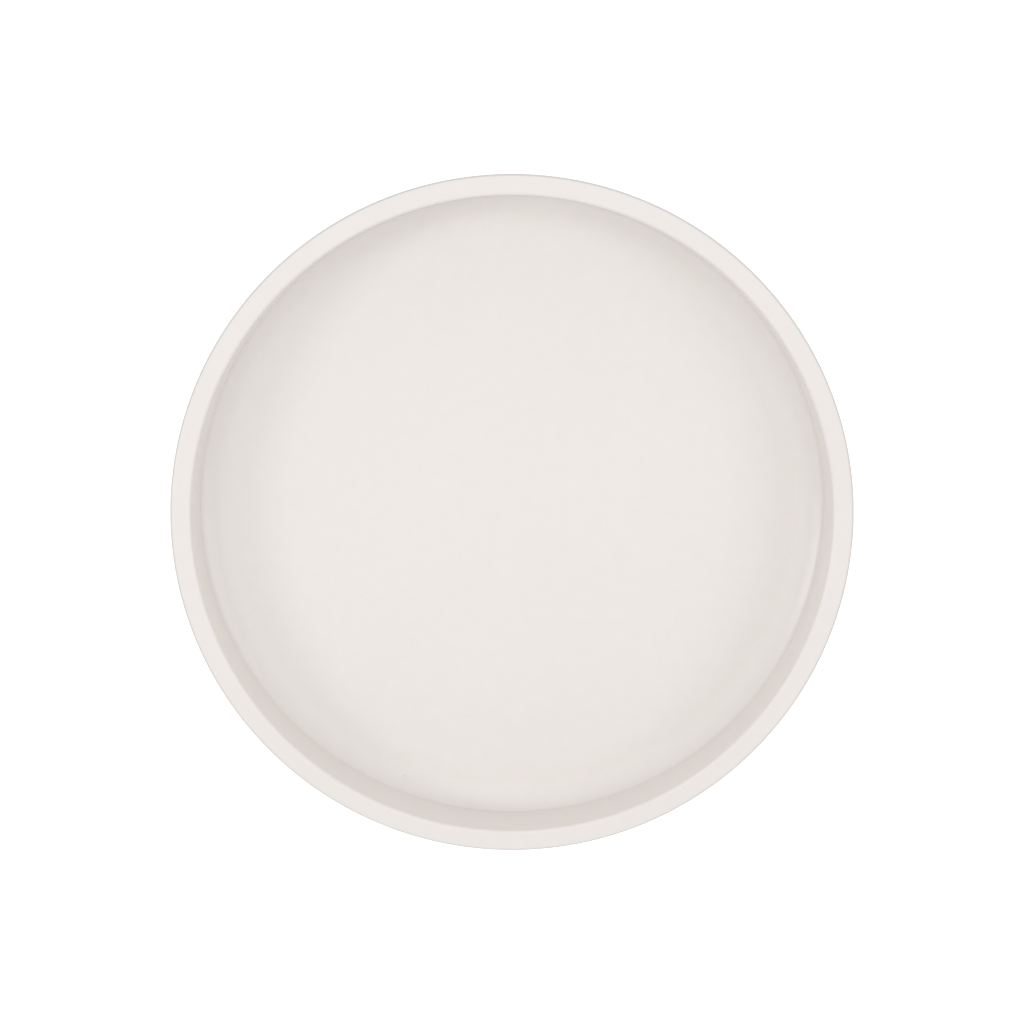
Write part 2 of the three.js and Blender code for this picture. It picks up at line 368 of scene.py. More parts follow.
@dataclass(frozen=True)
class Steel:
    """Bare or plated steel, dulled a little by handling."""

    name: str
    colour: Colour
    stain: Colour
    roughness: float
    smear: float

    def build(self) -> bpy.types.Material:
        """Makes the material.

        Returns:
            The finished material.
        """
        shader = Shader(self.name)
        cloud = shader.noise(350.0, 4.0, 0.6)
        fine = shader.noise(4000.0, 2.0)
        stained = cloud.above(0.6, 0.3)
        shader.feed("Base Color", shader.mix(stained * 0.5, self.colour, self.stain))
        shader.feed("Roughness", self.roughness + self.smear * cloud + 0.05 * fine)
        shader.bump(fine, 0.000004, 0.5)
        shader.fix(Metallic=1.0)
        return shader.material


@dataclass(frozen=True)
class Rubber:
    """Soft dark rubber, paler and dusty where it stands."""

    colour: Colour = (0.052, 0.051, 0.05)
    dust: Colour = (0.15, 0.145, 0.135)
    roughness: float = 0.72
    worn_below: float = 0.0005

    def build(self) -> bpy.types.Material:
        """Makes the material.

        Returns:
            The finished material.
        """
        shader = Shader("foot_rubber")
        grain = shader.noise(1800.0, 3.0, 0.6)
        low = 1.0 - shader.height().above(self.worn_below, self.worn_below)
        dusty = low * shader.noise(260.0, 3.0).above(0.5, 0.3)
        shader.feed("Base Color", shader.mix(dusty * 0.7 + 0.1 * grain, self.colour, self.dust))
        shader.feed("Roughness", self.roughness + 0.15 * grain)
        shader.bump(grain, 0.00006, 0.7)
        return shader.material


@dataclass(frozen=True)
class Backdrop:
    """Plain pale sweep that the turntable stands on."""

    colour: Colour = (0.94, 0.94, 0.94)
    glow: float = 0.32

    def build(self) -> bpy.types.Material:
        """Makes the material.

        Returns:
            The finished material.
        """
        shader = Shader("backdrop")
        shader.fix(
            Base_Color=(*self.colour, 1.0),
            Roughness=0.9,
            Specular_IOR_Level=0.1,
            Emission_Color=(1.0, 1.0, 1.0, 1.0),
            Emission_Strength=self.glow,
        )
        return shader.material


@dataclass
class Palette:
    """Every finish, made once."""

    tray: bpy.types.Material = field(default_factory=lambda: TrayPlastic().build())
    base: bpy.types.Material = field(default_factory=lambda: BasePlastic().build())
    nylon: bpy.types.Material = field(default_factory=lambda: Nylon().build())
    zinc: bpy.types.Material = field(
        default_factory=lambda: Steel(
            "zinc_steel", (0.60, 0.61, 0.63), (0.48, 0.49, 0.50), 0.26, 0.14
        ).build()
    )
    ball: bpy.types.Material = field(
        default_factory=lambda: Steel(
            "ball_steel", (0.68, 0.69, 0.71), (0.60, 0.60, 0.60), 0.08, 0.08
        ).build()
    )
    rubber: bpy.types.Material = field(default_factory=lambda: Rubber().build())


# -------------------------------------------------------------- turned shapes


@dataclass(frozen=True)
class Corner:
    """A corner of a turned section: radius, height and rounding, in millimetres."""

    r: float
    z: float
    round: float = 0.0


@dataclass(frozen=True)
class Section:
    """A turned section, as corners in order, closed or with both ends on the axis."""

    corners: tuple[Corner, ...]
    closed: bool
    steps: int
    guard: float

    @classmethod
    def of(
        cls,
        *corners: tuple[float, ...],
        closed: bool = False,
        steps: int = 6,
        guard: float = 0.35,
    ) -> "Section":
        """Makes a section.

        Args:
            corners: Each corner's radius, height and, if it is rounded, rounding.
            closed: True for a ring, False when both ends are on the axis.
            steps: How many parts a quarter turn of rounding has.
            guard: How far the guards are from a flat's ends.

        Returns:
            The section.
        """
        return cls(tuple(Corner(*corner) for corner in corners), closed, steps, guard)

    def points(self) -> list[Point]:
        """Rounds the corners and guards each flat with a point near its ends.

        Returns:
            The outline's points, in millimetres.
        """
        reaches = self._reaches()
        runs = [self._rounding(i, reach) for i, reach in enumerate(reaches)]
        points: list[Point] = []
        count = len(runs)
        for i, run in enumerate(runs):
            points += run
            if i == count - 1 and not self.closed:
                break
            points += self._guards(run[-1], runs[(i + 1) % count][0])
        return points

    def _sides(self, i: int) -> tuple[Vector, Vector, float]:
        """Gives the two sides that meet at a corner.

        Args:
            i: The corner's place in the list.

        Returns:
            The side back, the side ahead and half the angle between them.
        """
        here, before = self.corners[i], self.corners[i - 1]
        after = self.corners[(i + 1) % len(self.corners)]
        back = Vector((before.r - here.r, before.z - here.z))
        ahead = Vector((after.r - here.r, after.z - here.z))
        return back, ahead, back.angle(ahead) / 2

    def _reaches(self) -> list[float]:
        """Gives how far each rounding reaches along its sides.

        Returns:
            A length for each corner, shortened where two roundings would meet.
        """
        count = len(self.corners)
        wanted = []
        for i, corner in enumerate(self.corners):
            end = not self.closed and i in (0, count - 1)
            flat = end or corner.round <= 0
            wanted.append(0.0 if flat else corner.round / math.tan(self._sides(i)[2]))
        reaches = wanted[:]
        for i in range(count if self.closed else count - 1):
            j = (i + 1) % count
            length, both = self._sides(i)[1].length, wanted[i] + wanted[j]
            if both > 0.96 * length:
                share = 0.96 * length / both
                reaches[i] = min(reaches[i], wanted[i] * share)
                reaches[j] = min(reaches[j], wanted[j] * share)
        return reaches

    def _rounding(self, i: int, reach: float) -> list[Point]:
        """Gives the points that stand for one corner.

        Args:
            i: The corner's place in the list.
            reach: How far the rounding reaches along both sides.

        Returns:
            The corner itself, or an arc that touches both its sides.
        """
        corner = self.corners[i]
        if reach <= 0:
            return [(corner.r, corner.z)]
        here = Vector((corner.r, corner.z))
        back, ahead, half = self._sides(i)
        radius = reach * math.tan(half)
        back.normalize()
        ahead.normalize()
        centre = here + (back + ahead).normalized() * (radius / math.sin(half))
        start, end = here + back * reach - centre, here + ahead * reach - centre
        first = math.atan2(start.y, start.x)
        sweep = math.remainder(math.atan2(end.y, end.x) - first, 2 * math.pi)
        steps = max(3, round(self.steps * abs(sweep) / (math.pi / 2)))
        angles = [first + sweep * k / steps for k in range(steps + 1)]
        return [
            (centre.x + radius * math.cos(a), centre.y + radius * math.sin(a)) for a in angles
        ]

    def _guards(self, start: Point, end: Point) -> list[Point]:
        """Gives the two points that keep a flat run flat in smooth shading.

        Args:
            start: Where the run starts.
            end: Where it ends.

        Returns:
            No points for a short run, and two for a long one.
        """
        run = Vector(end) - Vector(start)
        if run.length < 4 * self.guard:
            return []
        step = run.normalized() * self.guard
        return [tuple(Vector(start) + step), tuple(Vector(end) - step)]


class ShapeTree(Graph):
    """A Geometry Nodes tree with named inputs that ends in one dressed mesh."""

    def __init__(self, name: str, **kinds: str) -> None:
        """Starts the tree.

        Args:
            name: The tree's name.
            kinds: Each input's type, by its name.
        """
        super().__init__(bpy.data.node_groups.new(name, "GeometryNodeTree"))
        self.inputs = {
            key: self.tree.interface.new_socket(
                key, in_out="INPUT", socket_type="NodeSocket" + kind
            ).identifier
            for key, kind in {**kinds, "Material": "Material"}.items()
        }
        self.tree.interface.new_socket(
            "Geometry", in_out="OUTPUT", socket_type="NodeSocketGeometry"
        )
        self.given = self.add("NodeGroupInput").outputs

    def step(
        self, kind: str, settings: Mapping[str, Any] | None = None, **inputs: Any
    ) -> bpy.types.NodeSocket:
        """Adds a node that gives a shape.

        Args:
            kind: The node's type, without its prefix.
            settings: Its own settings.
            inputs: Its inputs, with underscores for spaces.

        Returns:
            Its first output.
        """
        named = {key.replace("_", " "): value for key, value in inputs.items()}
        return self.add("GeometryNode" + kind, settings, named).outputs[0]

    def source(self, name: str) -> bpy.types.NodeSocket:
        """Gives the geometry of an object that comes in as a named input."""
        info = self.add("GeometryNodeObjectInfo", inputs={"Object": self.given[name]})
        return info.outputs["Geometry"]

    def circle(self, sides: Any, radius: Any) -> bpy.types.NodeSocket:
        """Gives a round curve with so many sides, as values or sockets."""
        sizes = {"Resolution": sides, "Radius": radius}
        return self.step("CurvePrimitiveCircle", {"mode": "RADIUS"}, **sizes)

    def end(self, shape: bpy.types.NodeSocket) -> None:
        """Realizes the shape, sets its material and ends the tree.

        Args:
            shape: The finished geometry.
        """
        real = self.step("RealizeInstances", Geometry=shape)
        dressed = self.step("SetMaterial", Geometry=real, Material=self.given["Material"])
        self.add("NodeGroupOutput", inputs={0: dressed})


class TurningTree(ShapeTree):
    """Geometry Nodes tree that sweeps a section once round Z."""

    def __init__(self) -> None:
        """Builds the tree with its named inputs."""
        super().__init__(
            "turned_piece",
            **{"Section": "Object", "Around": "Int", "Path Radius": "Float", "Weld": "Float"},
        )
        given = self.given
        outline = self.step("MeshToCurve", Mesh=self.source("Section"))
        path = self.circle(given["Around"], given["Path Radius"])
        swept = self.step("CurveToMesh", Curve=path, Profile_Curve=outline)
        self.end(self.step("MergeByDistance", Geometry=swept, Distance=given["Weld"]))


class RadialTree(ShapeTree):
    """Geometry Nodes tree that repeats a piece evenly round Z."""

    def __init__(self) -> None:
        """Builds the tree with its named inputs."""
        super().__init__(
            "ring_of_pieces", **{"Piece": "Object", "Count": "Int", "Start Angle": "Float"}
        )
        count, start = Val(self, self.given["Count"]), Val(self, self.given["Start Angle"])
        number = Val(self, self.step("InputIndex"))
        angle = number * (2 * math.pi / count) + start
        axis = {"Axis": (0.0, 0.0, 1.0), "Angle": angle}
        turned = self.add("FunctionNodeAxisAngleToRotation", inputs=axis)
        points = self.step("Points", Count=self.given["Count"])
        self.end(
            self.step(
                "InstanceOnPoints",
                Points=points,
                Instance=self.source("Piece"),
                Rotation=turned.outputs[0],
            )
        )


class CoilTree(ShapeTree):
    """Geometry Nodes tree that sweeps a small section along a coil about Z."""

    STEPS_PER_TURN = 28
    RIDGE_SIDES = 4

    def __init__(self) -> None:
        """Builds the tree with its named inputs."""
        names = ("Turns", "Radius", "Height", "Ridge", "Foot")
        super().__init__("screw_thread", **dict.fromkeys(names, "Float"))
        given = self.given
        coil = self.step(
            "CurveSpiral",
            Resolution=self.STEPS_PER_TURN,
            Rotations=given["Turns"],
            Start_Radius=given["Radius"],
            End_Radius=given["Radius"],
            Height=given["Height"],
        )
        ridge = self.circle(self.RIDGE_SIDES, given["Ridge"])
        swept = self.step("CurveToMesh", Curve=coil, Profile_Curve=ridge, Fill_Caps=True)
        lift = self.add("ShaderNodeCombineXYZ", inputs={"Z": given["Foot"]}).outputs[0]
        self.end(self.step("Transform", Geometry=swept, Translation=lift))


class Workshop:
    """Makes plain meshes with the node trees, and keeps the scene tidy."""

    SWEEP_RADIUS = 0.2
    WELD = 0.000004

    def __init__(self) -> None:
        """Builds the trees once."""
        self.turning = TurningTree()
        self.radial = RadialTree()
        self.coil = CoilTree()

    @staticmethod
    def keep(name: str, mesh: bpy.types.Mesh) -> bpy.types.Object:
        """Puts a mesh in the scene.

        Args:
            name: The piece's name.
            mesh: Its mesh, in place.

        Returns:
            Its object, at the origin.
        """
        mesh.name = name
        piece = bpy.data.objects.new(name, mesh)
        bpy.context.scene.collection.objects.link(piece)
        return piece

    @staticmethod
    def drop(*pieces: bpy.types.Object) -> None:
        """Removes helper objects and their meshes.

        Args:
            pieces: The objects to remove.
        """
        for piece in pieces:
            mesh = piece.data
            bpy.data.objects.remove(piece)
            bpy.data.meshes.remove(mesh)

    def _grow(
        self, name: str, graph: ShapeTree, values: Mapping[str, Any]
    ) -> bpy.types.Object:
        """Runs a tree and keeps its result as a plain mesh.

        Args:
            name: The new piece's name.
            graph: One of the node trees.
            values: The value of each named input.

        Returns:
            The new piece.
        """
        carrier = self.keep(name + "_carrier", bpy.data.meshes.new(name + "_carrier"))
        modifier = carrier.modifiers.new("nodes", "NODES")
        modifier.node_group = graph.tree
        for key, value in values.items():
            modifier[graph.inputs[key]] = value
        depsgraph = bpy.context.evaluated_depsgraph_get()
        depsgraph.update()
        mesh = bpy.data.meshes.new_from_object(carrier.evaluated_get(depsgraph))
        carrier.modifiers.remove(modifier)
        self.drop(carrier)
        return self.keep(name, mesh)

    def turn(
        self, name: str, section: Section, material: bpy.types.Material, around: int = 192
    ) -> bpy.types.Object:
        """Turns a section into a round piece with outward faces.

        Args:
            name: The piece's name.
            section: Its section.
            material: Its finish.
            around: How many faces go round it.

        Returns:
            The piece.
        """
        points = section.points()
        verts = [(r * MM - self.SWEEP_RADIUS, -z * MM, 0.0) for r, z in points]
        edges = [(i, i + 1) for i in range(len(points) - 1)]
        if section.closed:
            edges.append((len(points) - 1, 0))
        mesh = bpy.data.meshes.new(name + "_section")
        mesh.from_pydata(verts, edges, [])
        outline = self.keep(name + "_section", mesh)
        piece = self._grow(
            name,
            self.turning,
            {
                "Section": outline,
                "Around": around,
                "Path Radius": self.SWEEP_RADIUS,
                "Weld": self.WELD,
                "Material": material,
            },
        )
        self.drop(outline)
        return self.finish(piece)

    def repeat(
        self,
        name: str,
        source: bpy.types.Object,
        count: int,
        material: bpy.types.Material,
        start: float = 0.0,
    ) -> bpy.types.Object:
        """Repeats a piece round Z and drops the original.

        Args:
            name: The new piece's name.
            source: The piece to repeat, in place at angle 0.
            count: How many there are.
            material: Their finish.
            start: The first one's angle, in radians.

        Returns:
            All of them as one piece.
        """
        values = {"Piece": source, "Count": count, "Start Angle": start, "Material": material}
        piece = self._grow(name, self.radial, values)
        self.drop(source)
        return self.finish(piece)

    def thread(
        self,
        name: str,
        radius: float,
        foot: float,
        height: float,
        pitch: float,
        material: bpy.types.Material,
    ) -> bpy.types.Object:
        """Winds a screw thread about Z.

        Args:
            name: The piece's name.
            radius: The shank's radius, in millimetres.
            foot: Where the thread starts, in millimetres.
            height: How tall it is, in millimetres.
            pitch: How far apart its turns are, in millimetres.
            material: Its finish.

        Returns:
            The thread.
        """
        values = {
            "Turns": height / pitch,
            "Radius": radius * MM,
            "Height": height * MM,
            "Ridge": 0.34 * pitch * MM,
            "Foot": foot * MM,
            "Material": material,
        }
        return self.finish(self._grow(name, self.coil, values))

    @staticmethod
    def finish(piece: bpy.types.Object, crease: float = 38.0) -> bpy.types.Object:
        """Turns faces outward and shades them smooth up to a crease.

        Args:
            piece: The piece.
            crease: The angle above which an edge stays sharp, in degrees.

        Returns:
            The same piece.
        """
        mesh = piece.data
        shape = bmesh.new()
        shape.from_mesh(mesh)
        bmesh.ops.dissolve_degenerate(shape, dist=1e-7, edges=shape.edges[:])
        bmesh.ops.recalc_face_normals(shape, faces=shape.faces[:])
        shape.to_mesh(mesh)
        shape.free()
        mesh.shade_smooth()
        mesh.set_sharp_from_angle(angle=math.radians(crease))
        return piece

    def bar(
        self, name: str, low: Sequence[float], high: Sequence[float], lean: float, edge: float
    ) -> bpy.types.Object:
        """Makes a moulded bar whose sides lean in downward and whose edges are rounded.

        Args:
            name: The piece's name.
            low: Its lowest corner, in millimetres.
            high: Its highest corner, in millimetres.
            lean: How much narrower its bottom is on each side, in millimetres.
            edge: The rounding of its edges, in millimetres.

        Returns:
            The bar.
        """
        shape = bmesh.new()
        for z, inset in ((low[2], lean), (high[2], 0.0)):
            corners = [
                (low[0] + inset, low[1] + inset),
                (high[0] - inset, low[1] + inset),
                (high[0] - inset, high[1] - inset),
                (low[0] + inset, high[1] - inset),
            ]
            for x, y in corners:
                shape.verts.new((x * MM, y * MM, z * MM))
        shape.verts.ensure_lookup_table()
        v = shape.verts
        shape.faces.new((v[3], v[2], v[1], v[0]))
        shape.faces.new((v[4], v[5], v[6], v[7]))
        for i in range(4):
            j = (i + 1) % 4
            shape.faces.new((v[i], v[j], v[j + 4], v[i + 4]))
        bmesh.ops.bevel(
            shape,
            geom=shape.edges[:],
            offset=edge * MM,
            segments=3,
            profile=0.5,
            affect="EDGES",
            clamp_overlap=True,
        )
        mesh = bpy.data.meshes.new(name)
        shape.to_mesh(mesh)
        shape.free()
        return self.keep(name, mesh)

    @staticmethod
    def shift(piece: bpy.types.Object, x: float, y: float = 0.0, z: float = 0.0) -> None:
        """Moves a piece's mesh by millimetres, leaving its object at the origin."""
        piece.data.transform(Matrix.Translation((x * MM, y * MM, z * MM)))


# ---------------------------------------------------------------- the frame


@dataclass(frozen=True)
class Datum:
    """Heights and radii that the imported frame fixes, in millimetres."""

    rim_z: float
    tray_radius: float
    boss_end_z: float
    base_low_z: float
    hub_top_z: float
    base_radius: float
    foot_radius: float
    foot_line: float
    foot_top_z: float
    ball_radius: float
    ball_line: float
    ball_z: float
    cap_low_z: float
    flange_top_z: float

    @classmethod
    def read(cls) -> "Datum":
        """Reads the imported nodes.

        Returns:
            Their heights and radii.
        """
        low: dict[str, Vector] = {}
        high: dict[str, Vector] = {}
        for node in ("tray", "base", "foot_1", "ball_1", "hub_cap", "pivot_bush"):
            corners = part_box(node)
            low[node], high[node] = corners[0] / MM, corners[1] / MM
        ball = (low["ball_1"] + high["ball_1"]) / 2
        return cls(
            rim_z=high["tray"].z,
            tray_radius=high["tray"].x,
            boss_end_z=low["tray"].z,
            base_low_z=low["base"].z,
            hub_top_z=high["base"].z,
            base_radius=high["base"].x,
            foot_radius=(high["foot_1"].x - low["foot_1"].x) / 2,
            foot_line=(high["foot_1"].x + low["foot_1"].x) / 2,
            foot_top_z=high["foot_1"].z,
            ball_radius=(high["ball_1"].z - low["ball_1"].z) / 2,
            ball_line=ball.x,
            ball_z=ball.z,
            cap_low_z=low["hub_cap"].z,
            flange_top_z=high["pivot_bush"].z,
        )


@dataclass(frozen=True)
class Race:
    """The ball race, shared by tray, base and cage, in millimetres."""

    datum: Datum
    hub_rise: float = 2.0
    groove_margin: float = 0.5
    groove_depth: float = 1.4
    wall: float = 2.0
    land: float = 2.6

    @property
    def deck_z(self) -> float:
        """The base's deck."""
        return self.datum.hub_top_z - self.hub_rise

    @property
    def track_z(self) -> float:
        """The underside of the tray's track."""
        return 2 * self.datum.ball_z - self.deck_z

    @property
    def floor_under_z(self) -> float:
        """The underside of the tray's floor."""
        return self.track_z + self.groove_depth + self.wall

    @property
    def half_groove(self) -> float:
        """Half the groove's width at its mouth."""
        radius = self.datum.ball_radius + self.groove_margin
        return math.sqrt(radius**2 - (radius - self.groove_depth) ** 2)

    @property
    def half_track(self) -> float:
        """Half the width of the track with its lands."""
        return self.half_groove + self.land

    def groove(self, up: bool, steps: int = 10) -> list[Point]:
        """Gives the groove's arc across the ball line.

        Args:
            up: True for the base's groove, False for the tray's.
            steps: How many parts the arc has.

        Returns:
            Its points, from the inside out for the base and back for the tray.
        """
        radius = self.datum.ball_radius + self.groove_margin
        half = math.asin(self.half_groove / radius)
        side = 1.0 if up else -1.0
        face = self.deck_z if up else self.track_z
        centre = face + side * (radius - self.groove_depth)
        angles = [side * half * (2 * k / steps - 1) for k in range(steps + 1)]
        return [
            (self.datum.ball_line + radius * math.sin(a), centre - side * radius * math.cos(a))
            for a in angles
        ]


# -------------------------------------------------------------- sub-assemblies


@dataclass
class Assembly:
    """What every sub-assembly needs."""

    datum: Datum
    race: Race
    shop: Workshop
    palette: Palette
    made: list[bpy.types.Object] = field(default_factory=list)

    def settle(self, piece: bpy.types.Object, body: str, slot: Slot, *nodes: str) -> None:
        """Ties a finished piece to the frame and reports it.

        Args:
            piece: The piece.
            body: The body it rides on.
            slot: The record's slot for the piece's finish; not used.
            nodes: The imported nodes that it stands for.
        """
        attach(piece, body)
        if nodes:
            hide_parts(*nodes)
        self.made.append(piece)
        LOG.info("%s rides on %s, %d faces", piece.name, body, len(piece.data.polygons))


@dataclass
class Tray(Assembly):
    """The turning tray with its ribs, and the screw and washer that hold it down."""

    depth: float = 36.0
    wall: float = 2.8
    draft_deg: float = 1.2
    cove: float = 8.0
    sweep_deg: float = 30.0
    sweep_rise: float = 3.9
    sweep_radius: float = 22.0
    crease: float = 1.9
    rim_fall: float = 0.25
    rim_width: float = 9.3
    rim_thickness: float = 3.0
    rim_drop: float = 6.5
    skirt_wall: float = 2.4
    inner_edge: float = 1.3
    outer_edge: float = 1.4
    dust_gap: float = 2.0
    dust_wall: float = 1.8
    dust_clearance: float = 1.2
    boss_radius: float = 7.0
    shoulder_wall: float = 3.4
    shoulder_clearance: float = 0.7
    pilot_radius: float = 2.3
    pilot_depth: float = 8.7
    rib_count: int = 12
    rib_thickness: float = 1.6
    rib_depth: float = 2.4
    rib_end_gap: float = 6.0
    rib_sink: float = 0.8
    head_radius: float = 4.5
    head_gap: float = 0.3
    shank_radius: float = 1.75
    thread_radius: float = 1.68
    thread_pitch: float = 1.1
    washer_bore: float = 2.3
    washer_radius: float = 11.5

    @property
    def floor_z(self) -> float:
        """The top of the floor."""
        return self.datum.rim_z - self.depth

    @property
    def rim_inner(self) -> float:
        """The lip's inner radius."""
        return self.datum.tray_radius - self.rim_width

    @property
    def wall_foot(self) -> float:
        """The radius where the wall's line meets the floor."""
        return self.rim_inner - self.depth * math.tan(math.radians(self.draft_deg))

    @property
    def dust_inner(self) -> float:
        """The dust skirt's inner radius."""
        return self.datum.ball_line + self.race.half_track + self.dust_gap

    def section(self) -> Section:
        """Gives the moulding's section.

        Returns:
            The section, from the middle of the floor round to the boss.
        """
        top, r = self.datum.rim_z, self.datum.tray_radius
        under, track = self.race.floor_under_z, self.race.track_z
        line, half = self.datum.ball_line, self.race.half_track
        hem_z = top - self.rim_drop
        ledge_z = top - self.rim_thickness
        skirt_in = r - self.skirt_wall
        wall_out = self.rim_inner + self.wall
        foot_out = self.wall_foot + self.wall
        dust_out = self.dust_inner + self.dust_wall
        dust_z = self.race.deck_z + self.dust_clearance
        shoulder = self.boss_radius + self.shoulder_wall
        shoulder_z = self.datum.flange_top_z + self.shoulder_clearance
        end_z = self.datum.boss_end_z
        foot_z = self.floor_z + self.sweep_rise
        foot_r = self.wall_foot + self.sweep_rise * math.tan(math.radians(self.draft_deg))
        sweep_r = foot_r - self.sweep_rise / math.tan(math.radians(self.sweep_deg))
        return Section.of(
            (0.0, self.floor_z),
            (30.0, self.floor_z),
            (80.0, self.floor_z),
            (sweep_r, self.floor_z, self.sweep_radius),
            (foot_r, foot_z, self.crease),
            (self.rim_inner, top, self.inner_edge),
            (r, top - self.rim_fall, self.outer_edge),
            (r - 0.15, hem_z, 0.7),
            (skirt_in + 0.15, hem_z, 0.5),
            (skirt_in, ledge_z, 0.9),
            (wall_out, ledge_z, 0.9),
            (foot_out, under, self.cove + self.wall),
            (dust_out, under, 0.8),
            (dust_out - 0.15, dust_z, 0.6),
            (self.dust_inner + 0.1, dust_z, 0.4),
            (self.dust_inner, under, 0.6),
            (line + half, under, 0.5),
            (line + half - 0.1, track, 0.4),
            *reversed(self.race.groove(up=False)),
            (line - half + 0.1, track, 0.4),
            (line - half, under, 0.6),
            (shoulder + 0.2, under, 1.2),
            (shoulder, shoulder_z, 0.4),
            (self.boss_radius, shoulder_z, 0.3),
            (self.boss_radius, end_z, 0.5),
            (self.pilot_radius, end_z, 0.3),
            (self.pilot_radius, end_z + self.pilot_depth, 0.3),
            (0.0, end_z + self.pilot_depth),
            steps=9,
        )

    def moulding(self) -> None:
        """Makes the tray itself."""
        piece = self.shop.turn("tray_moulding", self.section(), self.palette.tray, 256)
        self.settle(piece, Body.TRAY.value, Slot.TRAY, "tray")

    def ribs(self) -> None:
        """Makes the ribs under the floor, inside and outside the race."""
        under, sink, half = self.race.floor_under_z, self.rib_sink, self.rib_thickness / 2
        inner_end = self.datum.ball_line - self.race.half_track + sink
        outer_start = self.dust_inner + self.dust_wall - sink
        outer_end = self.wall_foot - self.cove - self.rib_end_gap
        spans = {
            "tray_inner_ribs": (self.boss_radius + 2.0, inner_end),
            "tray_outer_ribs": (outer_start, outer_end),
        }
        first = math.pi / self.rib_count
        for name, (start, end) in spans.items():
            low, high = (start, -half, under - self.rib_depth), (end, half, under + sink)
            bar = self.shop.bar(name + "_one", low, high, 0.25, 0.3)
            piece = self.shop.repeat(name, bar, self.rib_count, self.palette.tray, first)
            self.settle(piece, Body.TRAY.value, Slot.TRAY)

    def fixings(self) -> None:
        """Makes the pivot screw, with its thread and cross recess, and its washer."""
        zinc, body = self.palette.zinc, Body.TRAY.value
        low, high = (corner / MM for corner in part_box("pivot_screw"))
        washer_low, washer_high = (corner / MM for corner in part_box("pivot_washer"))
        head, neck_z = self.head_radius, washer_low.z - self.head_gap
        section = Section.of(
            (0.0, low.z),
            (head - 0.6, low.z, 0.8),
            (head, low.z + 1.0, 0.6),
            (head, neck_z, 0.15),
            (self.shank_radius, neck_z, 0.2),
            (self.shank_radius - 0.15, high.z - 1.4, 0.3),
            (0.5, high.z, 0.3),
            (0.0, high.z),
        )
        screw = self.shop.turn("pivot_screw_shank", section, zinc, 64)
        self._recess(screw, low.z)
        self.settle(screw, body, Slot.ZINC, "pivot_screw")
        foot = neck_z + 1.6
        tall = high.z - 1.2 - foot
        thread = self.shop.thread(
            "pivot_screw_thread", self.thread_radius, foot, tall, self.thread_pitch, zinc
        )
        self.settle(thread, body, Slot.ZINC)
        ring = Section.of(
            (self.washer_bore, washer_low.z, 0.15),
            (self.washer_radius, washer_low.z, 0.25),
            (self.washer_radius, washer_high.z, 0.12),
            (self.washer_bore, washer_high.z, 0.15),
            closed=True,
            steps=4,
        )
        washer = self.shop.turn("pivot_washer_disc", ring, zinc, 96)
        self.settle(washer, body, Slot.ZINC, "pivot_washer")

    def _recess(self, screw: bpy.types.Object, low_z: float) -> None:
        """Cuts the cross recess in the screw's head.

        Args:
            screw: The screw, whose head is at its lower end.
            low_z: The head's lowest height, in millimetres.
        """
        for name, (x, y) in {"recess_x": (2.7, 0.5), "recess_y": (0.5, 2.7)}.items():
            cutter = self.shop.bar(name, (-x, -y, low_z - 1.0), (x, y, low_z + 1.2), 0.0, 0.12)
            cut = screw.modifiers.new(name, "BOOLEAN")
            cut.operation, cut.object, cut.solver = "DIFFERENCE", cutter, "EXACT"
            depsgraph = bpy.context.evaluated_depsgraph_get()
            depsgraph.update()
            mesh = bpy.data.meshes.new_from_object(screw.evaluated_get(depsgraph))
            screw.modifiers.remove(cut)
            old, screw.data = screw.data, mesh
            bpy.data.meshes.remove(old)
            self.shop.drop(cutter)
        screw.data.name = screw.name
        self.shop.finish(screw)

    def build(self) -> None:
        """Makes every piece of the tray."""
        self.moulding()
        self.ribs()
        self.fixings()


